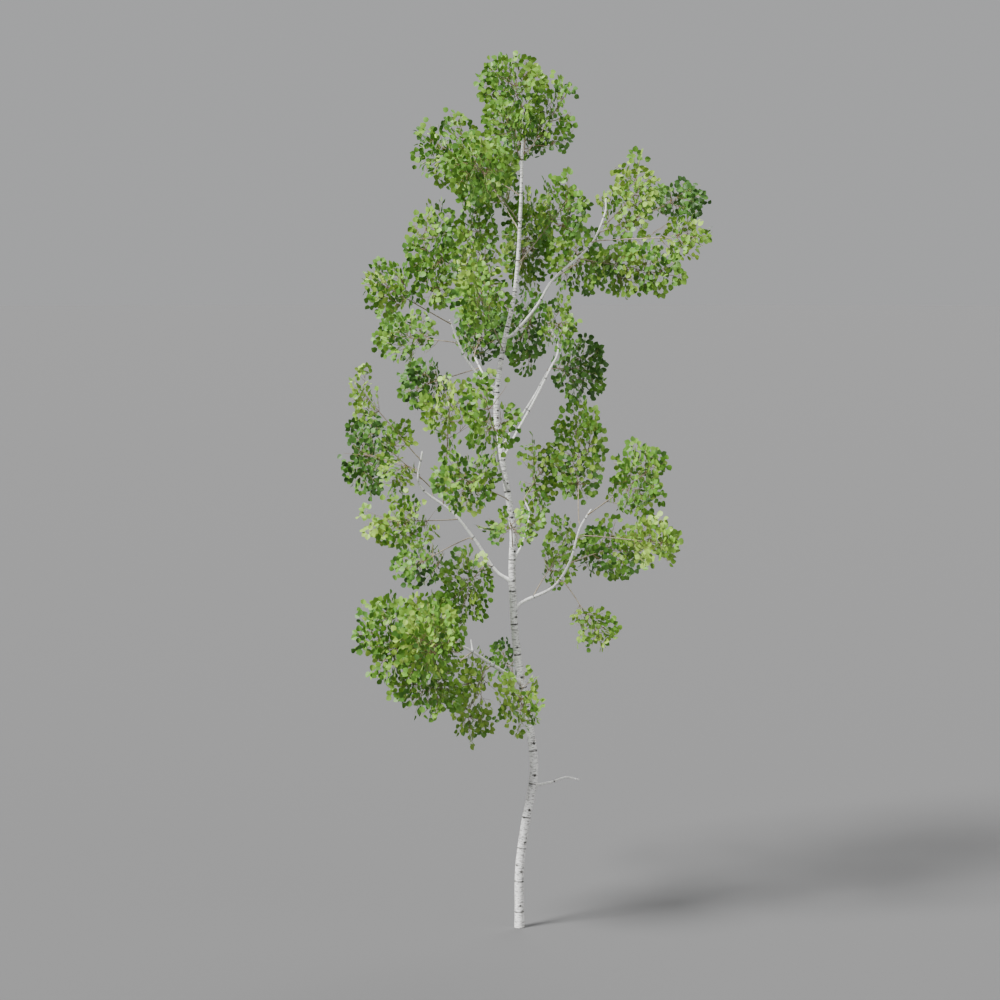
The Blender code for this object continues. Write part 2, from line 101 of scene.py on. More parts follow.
floor_shape = bmesh.new()
bmesh.ops.create_circle(floor_shape, cap_ends=True, segments=96, radius=FLOOR_RADIUS)
floor_mesh = bpy.data.meshes.new("floor")
floor_shape.to_mesh(floor_mesh)
floor_shape.free()
floor_finish = bpy.data.materials.new("floor_matt")
floor_finish.use_nodes = True
floor_shader = floor_finish.node_tree.nodes["Principled BSDF"]
set_inputs(floor_shader, {"Base Color": FLOOR_GREY, "Roughness": 0.95})
floor_mesh.materials.append(floor_finish)
floor = add_object("floor", floor_mesh)


def add_lamp(name, aside, height, strength, spread):
    """A very large, far softbox: its place in degrees round and up, and how wide it looks."""
    lamp_data = bpy.data.lights.new(name, "SUN")
    lamp_data.energy = strength
    lamp_data.angle = math.radians(spread)
    lamp = add_object(name, lamp_data)
    lamp.rotation_euler = (math.radians(90 - height), 0.0, math.radians(aside))


add_lamp("key_light", -56.0, 45.0, 8.0, 18.0)
add_lamp("fill_light", 50.0, 30.0, 0.9, 50.0)
add_lamp("back_light", 165.0, 45.0, 1.5, 40.0)

air = bpy.data.worlds.new("studio_air")
air.use_nodes = True
set_inputs(air.node_tree.nodes["Background"], {"Color": AIR_GREY, "Strength": 1.0})
bpy.context.scene.world = air

# ----------------------------------------
# Trunk: one slender stem of white, chalky bark. It rises upright from a flat cut at the ground,
# weaves a little, and tapers to the tip. Each year's growth ends in a dark ring, and a lost twig
# leaves a dark eye beside it.

GAP = 0.0003  # between a limb and what grows from it
TRUNK_RADIUS = 0.032
TRUNK_TIP_RADIUS = 0.0045
TRUNK_TAPER = 0.62  # power of the share of the trunk that is left
FLARE = 0.0035  # extra radius at the ground
FLARE_HEIGHT = 0.09
TRUNK_SIDES = 48
TRUNK_RING = 0.0055  # metres between two rows of the mesh
TRUNK_WAY = (
    (0.000, 0.000, 0.04),
    (0.000, 0.000, 0.40),
    (0.035, 0.010, 0.70),
    (0.100, 0.030, 1.10),
    (0.053, 0.035, 1.50),
    (-0.026, 0.010, 2.00),
    (-0.053, -0.020, 2.50),
    (-0.049, -0.030, 2.80),
    (-0.111, -0.020, 3.20),
    (-0.161, 0.010, 3.60),
    (-0.117, 0.035, 4.00),
    (-0.034, 0.030, 4.40),
    (0.002, 0.000, 4.90),
    (0.020, -0.020, 5.60),
)
YEAR_GROWTH = 0.23  # metres between two rings
FULL_SCAR_RADIUS = 0.02  # a thinner limb has smaller scars
RING_HEIGHT = 0.0011
RING_WIDTH = 0.005
RING_DARK_WIDTH = 0.0045
RING_WANDER = 0.003  # up and down, round the limb
RING_REACH = 0.03  # along the limb, past which it is nothing
EYE_RISE = 0.058  # from a ring to the eye over it
EYE_SIDE = 5.15  # where most of a limb's twigs were, as an angle round it
EYE_WIDTH = 0.0095
EYE_TALL = 0.0065
EYE_HEIGHT = 0.0018
EYE_LIP = 1.1  # from an eye's middle to its raised lip, as a share of its half-width
EYE_PIT = 0.6  # how deep its middle lies, as a share of the lip's height
BROW_RISE = 1.6  # over an eye is a dark brow that droops to each side, in the same shares
BROW_SLOPE = 0.9
BROW_REACH = 2.2
BROW_DARK = 0.75
EYE_REACH = 0.04
SKIN_ROUGHNESS = 0.02  # of the radius
COLLAR_SWELL = 0.35  # of a bough's radius, where it leaves
COLLAR_WIDTH = 2.2  # the same
CHALK_WHITE = (0.90, 0.895, 0.875, 1.0)
BARK_GREY = (0.68, 0.68, 0.65, 1.0)
SCAR_BLACK = (0.030, 0.026, 0.022, 1.0)
DASH_GREY = (0.24, 0.235, 0.225, 1.0)
PORE_BROWN = (0.14, 0.13, 0.115, 1.0)


def slope(knots, place):
    """The direction of the smooth way at one of its knots."""
    first = max(place - 1, 0)
    last = min(place + 1, len(knots) - 1)
    run = sum((knots[i + 1] - knots[i]).length for i in range(first, last))
    return (knots[last] - knots[first]) / run


def smooth_way(knots, pieces):
    """Points of a smooth curve through the knots, with so many straight pieces between two."""
    knots = [Vector(knot) for knot in knots]
    points = [knots[0]]
    for i in range(len(knots) - 1):
        near, far = knots[i], knots[i + 1]
        third = (far - near).length / 3
        leave = near + slope(knots, i) * third
        arrive = far - slope(knots, i + 1) * third
        points += interpolate_bezier(near, leave, arrive, far, pieces + 1)[1:]
    return points


def at_height(points, height):
    """The point and heading of a rising way at one height."""
    for near, far in zip(points, points[1:]):
        if far.z >= height:
            share = (height - near.z) / (far.z - near.z)
            return near.lerp(far, share), (far - near).normalized()
    return points[-1].copy(), (points[-1] - points[-2]).normalized()


def way_length(points):
    return sum((far - near).length for near, far in zip(points, points[1:]))


def at_share(points, share):
    """The point and heading at a share of a way's length."""
    left = share * way_length(points)
    for near, far in zip(points, points[1:]):
        length = (far - near).length
        if left <= length:
            return near.lerp(far, left / length), (far - near).normalized()
        left -= length
    return points[-1].copy(), (points[-1] - points[-2]).normalized()


def trunk_radius(height):
    left = max(1 - height / TRUNK_WAY[-1][2], 0.0)
    taper = TRUNK_TIP_RADIUS + (TRUNK_RADIUS - TRUNK_TIP_RADIUS) * left**TRUNK_TAPER
    return taper + FLARE * math.exp(-height / FLARE_HEIGHT)


def bump_at(distance, width):
    """A soft hump, 1 at no distance and gone at about twice its width."""
    return math.exp(-((distance / width) ** 2))


class Scars:
    """Year rings and eyes along a limb: how far each stands out, and how dark it is."""

    def __init__(self, seed, length, spacing):
        chance = random.Random(seed)
        self.rings = []
        self.eyes = []
        along = spacing * chance.uniform(0.35, 0.8)
        while along < length:
            self.rings.append((along, chance.uniform(0.75, 1.0), chance.uniform(0, 50)))
            place = along + EYE_RISE * chance.uniform(0.7, 1.3)
            turn = chance.gauss(EYE_SIDE, 0.25)
            self.eyes.append((place, turn, chance.uniform(0.8, 1.1)))
            place = along + chance.uniform(0.4, 0.8) * spacing
            turn = chance.uniform(0, 2 * math.pi)
            self.eyes.append((place, turn, chance.uniform(0.5, 0.9)))
            along += spacing * chance.uniform(0.92, 1.08)

    def at(self, along, angle, radius):
        """Height of the relief in metres, and darkness from 0 to 1."""
        high = 0.0
        dark = 0.0
        scale = min(1.0, radius / FULL_SCAR_RADIUS)
        for place, strength, phase in self.rings:
            if abs(along - place) > RING_REACH:
                continue
            around = (math.cos(angle), math.sin(angle))
            wander = RING_WANDER * noise.noise(Vector((*around, phase)))
            gap = along - place - wander
            high += RING_HEIGHT * scale * strength * bump_at(gap, RING_WIDTH)
            patchy = 0.8 + 0.5 * noise.noise(Vector((around[0] * 2, around[1] * 2, phase)))
            dark = max(dark, strength * patchy * bump_at(gap, RING_DARK_WIDTH))
        for place, turn, size in self.eyes:
            if abs(along - place) > EYE_REACH:
                continue
            across = (angle - turn + math.pi) % (2 * math.pi) - math.pi
            aside = across * radius / (EYE_WIDTH * size * scale)
            rise = (along - place) / (EYE_TALL * size * scale)
            away = math.hypot(aside, rise)
            lip = bump_at(away - EYE_LIP, 0.5) - EYE_PIT * bump_at(away, 0.7)
            high += EYE_HEIGHT * scale * lip
            dark = max(dark, (0.4 + 0.6 * scale) * bump_at(away, 0.95))
            if abs(aside) < BROW_REACH:
                brow = rise - BROW_RISE + BROW_SLOPE * abs(aside)
                dark = max(dark, BROW_DARK * scale * bump_at(brow, 0.35))
        return high, min(dark, 1.0)


def grow_skin(name, way, radius_at, sides, ring_length, scars, collars=()):
    """The closed bark skin of one limb: a grid rolled round its way, with its relief."""
    length = way_length(way)
    rings = max(6, round(length / ring_length))
    frames = []
    side = Vector((1, 0, 0))
    for i in range(rings + 1):
        centre, along = at_share(way, i / rings)
        side = (side - along * side.dot(along)).normalized()
        frames.append((centre, side.copy(), along.cross(side)))
    skin = bmesh.new()
    bmesh.ops.create_grid(skin, x_segments=sides, y_segments=rings, size=1.0)
    straight = skin.verts.layers.float_vector.new("straight")
    mark = skin.verts.layers.float.new("mark")
    for vert in skin.verts:
        angle = (vert.co.x + 1) * math.pi
        share = (vert.co.y + 1) / 2
        centre, side, other = frames[round(share * rings)]
        along = share * length
        radius = radius_at(along)
        high, dark = scars.at(along, angle, radius)
        out = side * math.cos(angle) + other * math.sin(angle)
        rough = noise.fractal(Vector((out.x * 3, out.y * 3, along * 9)), 0.9, 2.2, 4)
        high += SKIN_ROUGHNESS * radius * rough
        for place, heading, bough_radius in collars:
            near = bump_at((centre - place).length, COLLAR_WIDTH * bough_radius)
            high += COLLAR_SWELL * bough_radius * near * max(out.dot(heading), 0.0) ** 3
        spot = centre + out * (radius + high)
        vert[straight] = (math.cos(angle) * radius, math.sin(angle) * radius, along)
        vert[mark] = dark
        vert.co = spot
    bmesh.ops.remove_doubles(skin, verts=skin.verts, dist=0.00005)
    open_edges = [edge for edge in skin.edges if edge.is_boundary]
    bmesh.ops.holes_fill(skin, edges=open_edges, sides=0)
    bmesh.ops.recalc_face_normals(skin, faces=skin.faces)
    for face in skin.faces:
        face.smooth = len(face.verts) <= 4
    mesh = bpy.data.meshes.new(name)
    skin.to_mesh(mesh)
    skin.free()
    return mesh


def add_piece(name, mesh, material, nodes):
    """Sets a finished mesh in the scene, riding on the tree, in place of its solids."""
    if material:
        mesh.materials.append(material)
    piece = add_object(name, mesh)
    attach(piece, "root")
    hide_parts(*nodes)
    return piece


class Nodes:
    """Adds shader nodes to one material and joins them up."""

    def __init__(self, name):
        self.material = bpy.data.materials.new(name)
        self.material.use_nodes = True
        self.tree = self.material.node_tree
        self.shader = self.tree.nodes["Principled BSDF"]

    def add(self, kind, inputs, **settings):
        node = self.tree.nodes.new(kind)
        for setting, value in settings.items():
            setattr(node, setting, value)
        set_inputs(node, inputs)
        return node

    def noise(self, vector, scale, detail, roughness):
        inputs = {"Vector": vector, "Scale": scale, "Detail": detail, "Roughness": roughness}
        return self.add("ShaderNodeTexNoise", inputs).outputs["Fac"]

    def stretched(self, vector, scale):
        inputs = {"Vector": vector, "Scale": scale}
        return self.add("ShaderNodeMapping", inputs).outputs["Vector"]

    def range(self, value, low, high, to_low, to_high):
        inputs = dict(enumerate((value, low, high, to_low, to_high)))
        return self.add("ShaderNodeMapRange", inputs).outputs["Result"]

    def math(self, operation, first, second):
        inputs = {0: first, 1: second}
        return self.add("ShaderNodeMath", inputs, operation=operation).outputs["Value"]

    def mix(self, share, first, second):
        inputs = {"Factor": share, "A": first, "B": second}
        return self.add("ShaderNodeMix", inputs, data_type="RGBA").outputs["Result"]

    def finish(self, inputs, height, strength, distance):
        """Sets the skin's own inputs, and its relief from a height, and gives the material."""
        relief = {"Height": height, "Strength": strength, "Distance": distance}
        normal = self.add("ShaderNodeBump", relief).outputs["Normal"]
        set_inputs(self.shader, {**inputs, "Normal": normal})
        return self.material


CLOUD_SCALE = (22, 22, 9)  # waves in a metre: two across the limb, then along it
DASH_STRETCH = 4.6  # how much longer a dash is than it is high
PORE_STRETCH = 4.0
PORE_SIZES = ((1.3, 0.75), (2.8, 0.55))  # finer than the dashes by, and share left out
FRAY_SCALE = (160, 160, 420)
BARK_RELIEF = 0.0014


def make_bark(name, pale, grey, wide, dash_depth):
    """Chalky bark: pale with grey clouds, brown pores in level dashes, and black scars."""
    nodes = Nodes(name)
    straight = nodes.add("ShaderNodeAttribute", {}, attribute_name="straight").outputs["Vector"]
    mark = nodes.add("ShaderNodeAttribute", {}, attribute_name="mark").outputs["Fac"]
    clouds = nodes.noise(nodes.stretched(straight, CLOUD_SCALE), 1.0, 5.0, 0.6)
    level = nodes.stretched(straight, (wide, wide, wide * DASH_STRETCH))
    streaks = nodes.noise(level, 1.0, 2.0, 0.5)
    colour = nodes.mix(nodes.range(clouds, 0.45, 0.75, 0.0, 0.8), pale, grey)
    # Dashes crowd on the side where the eyes sit, which on the trunk is the front-right, away
    # from the key light. This is partly scarred bark and partly painted shade.
    inputs = {0: straight, 1: (math.cos(EYE_SIDE), math.sin(EYE_SIDE), 0.0)}
    scarred_and_shaded_side = nodes.add("ShaderNodeVectorMath", inputs, operation="DOT_PRODUCT")
    crowding_and_shade = nodes.range(clouds, 0.35, 0.65, -0.02, 0.02)
    crowding_and_shade = nodes.math("ADD", crowding_and_shade, scarred_and_shaded_side.outputs["Value"])
    crowding_and_shade = nodes.range(crowding_and_shade, -0.03, 0.03, 0.55, 1.0)
    dashes = nodes.range(streaks, 0.52, 0.60, 0.0, dash_depth)
    colour = nodes.mix(nodes.math("MULTIPLY", dashes, crowding_and_shade), colour, DASH_GREY)
    relief = streaks
    for finer, left_out in PORE_SIZES:
        across = wide * finer
        level = nodes.stretched(straight, (across, across, across * PORE_STRETCH))
        cells = nodes.add("ShaderNodeTexVoronoi", {"Vector": level, "Scale": 1.0})
        core = nodes.range(cells.outputs["Distance"], 0.24, 0.36, 1.0, 0.0)
        lot = nodes.add("ShaderNodeSeparateColor", {"Color": cells.outputs["Color"]})
        kept = nodes.range(lot.outputs["Red"], left_out, left_out + 0.05, 0, 1)
        pores = nodes.math("MULTIPLY", core, kept)
        colour = nodes.mix(nodes.math("MULTIPLY", pores, dash_depth), colour, PORE_BROWN)
        relief = nodes.math("ADD", relief, pores)
    frayed = nodes.noise(nodes.stretched(straight, FRAY_SCALE), 1.0, 2.0, 0.5)
    scar = nodes.math("MULTIPLY", mark, nodes.range(frayed, 0.30, 0.60, 0.55, 1.3))
    colour = nodes.mix(nodes.range(scar, 0.15, 0.50, 0.0, 1.0), colour, SCAR_BLACK)
    inputs = {"Base Color": colour, "Roughness": nodes.range(clouds, 0.3, 0.8, 0.60, 0.82)}
    return nodes.finish(inputs, relief, 0.5, BARK_RELIEF)


trunk_line = [Vector((0, 0, 0)), *smooth_way(TRUNK_WAY, 2)]  # as the solid's, to seat stems on
trunk_way = [Vector((0, 0, 0)), *smooth_way(TRUNK_WAY, 10)]
trunk_length = way_length(trunk_way)
white_bark = make_bark("white_bark", CHALK_WHITE, BARK_GREY, 30, 0.8)

# ----------------------------------------
# Boughs: the main side limbs, grown out of the trunk at a swollen collar. Their bark is the same
# white skin, a little greyer, with smaller scars, and their ends are bare and blunt.

BOUGH_SIDES = 20
BOUGH_RING = 0.006
BOUGHS = {
    "bough_low_bare": (0.99, 0.012, 0.005, (
        (0.22, -0.03, 1.03), (0.32, -0.06, 1.07), (0.41, -0.10, 1.06),
    )),
    "bough_low_left": (1.71, 0.015, 0.007, (
        (-0.19, -0.16, 1.87), (-0.34, -0.34, 2.00), (-0.43, -0.48, 2.06),
    )),
    "bough_left": (2.42, 0.0125, 0.006, (
        (-0.16, 0.00, 2.49), (-0.29, -0.04, 2.69), (-0.46, -0.10, 2.91),
        (-0.68, -0.15, 3.10), (-0.66, -0.17, 3.33),
    )),
    "bough_right": (2.22, 0.012, 0.006, (
        (0.02, -0.01, 2.28), (0.23, -0.05, 2.39), (0.34, -0.06, 2.56),
        (0.41, -0.03, 2.79), (0.49, 0.00, 2.92),
    )),
    "bough_shoot": (2.55, 0.009, 0.006, (
        (0.01, 0.06, 2.66), (0.07, 0.16, 2.86), (0.04, 0.20, 2.95),
    )),
    "bough_high_left": (3.73, 0.0105, 0.0055, (
        (-0.24, 0.00, 3.79), (-0.37, 0.03, 3.95), (-0.48, 0.05, 4.21),
    )),
    "bough_mid_right": (3.25, 0.010, 0.006, (
        (-0.03, -0.04, 3.43), (0.10, -0.06, 3.67), (0.20, -0.04, 3.87),
        (0.26, -0.02, 4.01), (0.20, 0.00, 4.17),
    )),
    "bough_high_right": (4.09, 0.011, 0.0055, (
        (-0.05, -0.02, 4.11), (0.11, -0.08, 4.30), (0.22, -0.10, 4.48),
        (0.47, -0.08, 4.71), (0.57, -0.05, 4.92), (0.58, -0.04, 5.03),
    )),
    "bough_back_high": (3.63, 0.010, 0.006, ((-0.21, 0.24, 3.74), (-0.31, 0.52, 3.93))),
    "bough_back_mid": (3.25, 0.010, 0.006, (
        (-0.09, 0.22, 3.38), (0.09, 0.46, 3.64), (0.20, 0.62, 3.83),
    )),
    "bough_front": (3.05, 0.010, 0.006, ((-0.14, -0.28, 3.25), (-0.16, -0.55, 3.44))),
}


def plan_bough(trunk_points, height, start_radius, tip_radius, way, pieces):
    """A bough's points from the trunk's middle to its tip, and its radius at each."""
    root, _ = at_height(trunk_points, height)
    points = smooth_way((root, *way), pieces)
    last = len(points) - 1
    radii = [start_radius + (tip_radius - start_radius) * i / last for i in range(last + 1)]
    return points, radii


def tapered(length, start_radius, tip_radius, swell):
    """The radius along a limb, with a collar at its root and a rounded end."""

    def radius_at(along):
        share = along / length
        radius = start_radius + (tip_radius - start_radius) * share
        radius *= 1 + swell * bump_at(along, 2.5 * start_radius)
        blunt = min((length - along) / (1.6 * tip_radius), 1.0)
        return radius * math.sqrt(max(1 - (1 - blunt) ** 2, 0.02))

    return radius_at


limb_lines = {"trunk": (trunk_line, [trunk_radius(point.z) for point in trunk_line])}
collars = []
for name, (height, start_radius, tip_radius, way) in BOUGHS.items():
    limb_lines[name] = plan_bough(trunk_line, height, start_radius, tip_radius, way, 2)
    root, ahead = limb_lines[name][0][:2]
    collars.append((root, (ahead - root).normalized(), start_radius))

trunk_mesh = grow_skin(
    "trunk_bark", trunk_way, trunk_radius, TRUNK_SIDES, TRUNK_RING,
    Scars(7, trunk_length, YEAR_GROWTH), collars,
)
add_piece("trunk_bark", trunk_mesh, white_bark, ["trunk"])

LIMB_WHITE = (0.88, 0.875, 0.85, 1.0)
LIMB_GREY = (0.66, 0.66, 0.62, 1.0)
limb_bark = make_bark("limb_bark", LIMB_WHITE, LIMB_GREY, 50, 0.4)
for seed, (name, (height, start_radius, tip_radius, way)) in enumerate(BOUGHS.items()):
    points, _ = plan_bough(trunk_line, height, start_radius, tip_radius, way, 8)
    length = way_length(points)
    radius_at = tapered(length, start_radius, tip_radius, 0.5)
    scars = Scars(seed + 20, length, YEAR_GROWTH)
    bough_mesh = grow_skin(f"{name}_bark", points, radius_at, BOUGH_SIDES, BOUGH_RING, scars)
    add_piece(f"{name}_bark", bough_mesh, limb_bark, [name])

# ----------------------------------------
# Bare fork: a short dead spur that stands up from the low left bough, past its middle. It has
# the bough's bark, and its foot is let into the bough.

FORK_PLACE = 0.72  # share of the low left bough's length
FORK_RISE = Vector((-0.012, 0.0, 0.085))
FORK_RADII = (0.0058, 0.0036)
fork_root, _ = at_share(limb_lines["bough_low_left"][0], FORK_PLACE)
fork_way = smooth_way((fork_root, fork_root + FORK_RISE / 2, fork_root + FORK_RISE), 6)
fork_radius = tapered(FORK_RISE.length, *FORK_RADII, 0.4)
fork_scars = Scars(40, FORK_RISE.length, YEAR_GROWTH)
fork_mesh = grow_skin("bare_fork", fork_way, fork_radius, BOUGH_SIDES, BOUGH_RING, fork_scars)
add_piece("bare_fork", fork_mesh, limb_bark, ["bough_low_left"])

# ----------------------------------------
# Twigs: each mass of foliage hangs on one stem, which leaves its limb at a wide angle and
# branches again and again into red-brown twigs. They are young wood with thin, smooth bark.

STEM_RADIUS = 0.0052
STEM_END_RADIUS = 0.0022
STEM_SWELL = 0.002  # extra radius where it leaves its limb
TWIG_RADIUS = 0.0021
SPUR_RADIUS = 0.0013
TWIG_END_RADIUS = 0.0008
TWIGLET_RADIUS = 0.0010
TWIGLET_TAPER = 0.0003
STEM_START = 0.06
STEM_SPREAD = math.radians(55)  # from the limb's heading
TIP_START = 0.02
SHORTEST_STALK = 0.015
LONGEST_STALK = 0.09  # a longer one is a twig, and carries others
ROOT_SHARES = (0.1, 0.3, 0.5, 0.7, 0.9)  # of a twig's length, where others may leave it
STRAIGHT_WORTH = 1.6  # how much a root well behind its place counts against a near one
PLACE_TURN = math.radians(137.5)
PLACE_AREA = 0.057  # square metres of a space's surface for one spray
FINER_AREA = 0.0185  # square metres of surface for one of the finer twigs between them
FULL_AREA = 0.0095  # the same, in the masses round the upper trunk and at the low left
FULL = {
    "crown_tip", "heart_front", "upper_front", "upper_back", "left_outer", "left_inner",
    "front_high", "back_upper", "right_mid", "low_left_outer", "low_left_front",
    "low_left_back", "right_column", "back_high", "left_fan", "left_plume", "inner_drop",
    "left_wing", "right_skirt_low",
}
TURNED_SHARE = 0.15  # of the finer twigs, that hold their leaves level rather than upright
MOST_TURNED = 0.5  # the same, in the masses whose sprays mostly lie level
LEVEL_TURN = math.radians(70)
LEVEL = {
    "left_plume", "far_left_wisp", "left_spike", "left_wing", "front_low", "left_fan",
    "right_front_wing", "trunk_front_low", "right_drop",
}
PLACES_BACK = -0.75  # where the spiral of places ends, from 1 at the stem's end to -1 behind it
PLACES_IN = 0.89  # how far out in its space a spray's place is
AREA_POWER = 1.6075
SPRAY_LENGTH = 0.14
FULL_SPRAY_ROOM = 0.20  # a mass of less than this half-size has shorter sprays
SPRAY_TILT = math.radians(35)
STEEP_HEADING = 0.05  # a heading nearer to upright than this has no upright plane of its own
MASSES = {
    "crown_tip": ("trunk", 5.60, (-0.06, 0.00, 5.79), (0.27, 0.21, 0.24)),
    "crown_right": ("trunk", 5.32, (0.24, 0.06, 5.62), (0.19, 0.18, 0.31)),
    "heart_front": ("trunk", 5.28, (-0.09, -0.24, 5.53), (0.20, 0.18, 0.19)),
    "heart_back": ("trunk", 5.22, (0.04, 0.26, 5.48), (0.19, 0.19, 0.21)),
    "left_plume": ("trunk", 5.04, (-0.50, 0.02, 5.36), (0.26, 0.19, 0.29)),
    "upper_front": ("trunk", 4.86, (-0.28, -0.52, 5.23), (0.28, 0.24, 0.27)),
    "upper_back": ("trunk", 4.80, (-0.23, 0.56, 5.18), (0.28, 0.24, 0.28)),
    "left_outer": ("trunk", 4.34, (-0.57, -0.30, 4.65), (0.22, 0.22, 0.41)),
    "left_inner": ("trunk", 4.26, (-0.30, 0.28, 4.70), (0.19, 0.22, 0.41)),
    "front_high": ("trunk", 3.99, (-0.27, -0.76, 4.39), (0.23, 0.22, 0.25)),
    "right_inner": ("trunk", 4.59, (0.29, -0.34, 4.98), (0.22, 0.22, 0.27)),
    "back_upper": ("trunk", 4.44, (0.06, 0.64, 4.74), (0.21, 0.24, 0.42)),
    "right_mid": ("bough_high_right", 0.45, (0.42, 0.44, 4.60), (0.26, 0.19, 0.28)),
    "right_crown": ("bough_high_right", 0.85, (0.75, 0.08, 5.03), (0.25, 0.22, 0.38)),
    "right_back_wing": ("bough_high_right", 0.80, (1.11, 0.60, 5.02), (0.23, 0.22, 0.18)),
    "right_front_wing": ("bough_high_right", 0.74, (1.09, -0.42, 4.77), (0.21, 0.19, 0.17)),
    "right_skirt": ("bough_high_right", 0.62, (0.81, -0.16, 4.55), (0.36, 0.22, 0.22)),
    "inner_drop": ("bough_high_right", 0.20, (0.04, 0.30, 4.11), (0.19, 0.18, 0.34)),
    "mid_right_tip": ("bough_mid_right", 1.00, (0.27, -0.20, 4.19), (0.16, 0.17, 0.23)),
    "back_high": ("bough_back_high", 1.00, (-0.26, 0.80, 4.12), (0.23, 0.24, 0.28)),
    "far_left_high": ("bough_high_left", 0.95, (-0.88, -0.28, 4.43), (0.21, 0.22, 0.24)),
    "left_fan": ("bough_high_left", 0.70, (-0.78, 0.32, 4.08), (0.27, 0.22, 0.21)),
    "far_left_wisp": ("bough_left", 0.95, (-1.05, -0.20, 3.72), (0.12, 0.15, 0.23)),
    "back_left": ("bough_back_high", 0.80, (-0.68, 0.78, 3.72), (0.21, 0.24, 0.23)),
    "left_bright": ("bough_left", 0.62, (-0.47, -0.46, 3.61), (0.23, 0.19, 0.27)),
    "front_mid": ("bough_front", 1.00, (-0.20, -0.80, 3.62), (0.22, 0.22, 0.35)),
    "left_heart": ("trunk", 2.97, (-0.37, -0.62, 3.18), (0.27, 0.22, 0.26)),
    "back_round": ("bough_back_mid", 1.00, (0.44, 0.95, 3.83), (0.23, 0.26, 0.27)),
    "right_column": ("bough_right", 0.85, (0.41, 0.34, 3.29), (0.22, 0.22, 0.41)),
    "right_plume": ("bough_right", 0.95, (0.79, -0.36, 3.16), (0.25, 0.22, 0.30)),
    "shoot_tip": ("bough_shoot", 1.00, (0.13, 0.46, 3.10), (0.18, 0.19, 0.36)),
    "front_low": ("trunk", 2.65, (-0.06, -0.78, 2.89), (0.25, 0.20, 0.16)),
    "right_skirt_low": ("bough_right", 0.55, (0.64, 0.34, 2.61), (0.29, 0.22, 0.26)),
    "right_inner_low": ("bough_right", 0.18, (0.28, 0.16, 2.61), (0.15, 0.18, 0.30)),
    "right_tip_low": ("bough_right", 0.75, (0.90, -0.52, 2.75), (0.20, 0.22, 0.22)),
    "right_drop": ("bough_right", 0.40, (0.50, -0.44, 2.16), (0.20, 0.18, 0.17)),
    "back_low": ("trunk", 1.64, (-0.10, 0.30, 1.84), (0.14, 0.15, 0.17)),
    "far_left_back": ("bough_left", 0.86, (-1.08, 0.62, 3.24), (0.22, 0.24, 0.34)),
    "left_spike": ("bough_left", 0.70, (-0.83, -0.16, 3.29), (0.16, 0.16, 0.35)),
    "left_wing": ("bough_left", 0.50, (-0.80, -0.42, 2.88), (0.33, 0.19, 0.21)),
    "left_under": ("bough_left", 0.33, (-0.71, 0.60, 2.47), (0.22, 0.21, 0.20)),
    "left_low": ("bough_left", 0.15, (-0.37, -0.16, 2.41), (0.22, 0.19, 0.32)),
    "low_left_outer": ("bough_low_left", 1.00, (-0.89, -0.50, 2.11), (0.25, 0.26, 0.34)),
    "low_left_front": ("bough_low_left", 0.90, (-0.61, -0.76, 2.12), (0.26, 0.24, 0.33)),
    "low_left_back": ("bough_low_left", 0.81, (-0.60, -0.21, 2.12), (0.26, 0.23, 0.31)),
    "low_left_under": ("bough_low_left", 0.72, (-0.63, -0.50, 1.74), (0.29, 0.27, 0.21)),
    "low_drop": ("bough_low_left", 0.40, (-0.31, -0.12, 1.64), (0.20, 0.19, 0.39)),
    "trunk_front_low": ("trunk", 1.47, (0.00, -0.30, 1.65), (0.19, 0.18, 0.28)),
}

# Windows: where the sky shows through a mass. Place across and up, and the radius, are shares of
# the mass's half-width and half-height, from its middle.
WINDOWS = {
    "crown_right": ((0.6, 0.05, 0.35),),
    "left_plume": ((-0.3, 0.7, 0.25),),
    "right_crown": ((-0.5, 0.7, 0.35), (-0.8, 0.3, 0.3), (0.75, -0.55, 0.25)),
    "right_front_wing": ((-0.8, 0.5, 0.3), (0.6, -0.4, 0.2)),
    "right_inner": ((0.5, 0.7, 0.35), (0.8, 0.3, 0.25)),
    "mid_right_tip": ((0.7, 0.45, 0.3),),
    "left_fan": ((0.45, -0.6, 0.25), (0.85, 0.4, 0.2)),
    "front_mid": ((0.5, 0.45, 0.4),),
    "left_bright": ((0.4, -0.45, 0.25),),
    "left_heart": ((0.1, 0.75, 0.2),),
    "far_left_wisp": ((0.6, 0.45, 0.35),),
    "far_left_back": ((-0.7, 0.05, 0.3),),
    "left_spike": ((0.6, 0.0, 0.4),),
    "right_plume": ((-0.85, 0.3, 0.25), (0.75, 0.0, 0.2)),
    "shoot_tip": ((-0.6, 0.0, 0.4), (0.1, 0.75, 0.3)),
    "left_wing": ((-0.4, 0.45, 0.2), (0.65, 0.3, 0.2)),
    "front_low": ((-0.6, 0.4, 0.25), (0.0, -0.65, 0.25)),
    "right_skirt_low": ((0.1, 0.7, 0.2),),
    "right_tip_low": ((0.1, -0.75, 0.25),),
    "right_inner_low": ((-0.3, 0.1, 0.22),),
    "right_drop": ((-0.75, -0.2, 0.25),),
    "low_left_outer": ((-0.6, -0.5, 0.25),),
    "low_left_under": ((-0.45, -0.6, 0.25),),
    "low_drop": ((0.6, 0.05, 0.4),),
    "trunk_front_low": ((0.0, 0.7, 0.25),),
}


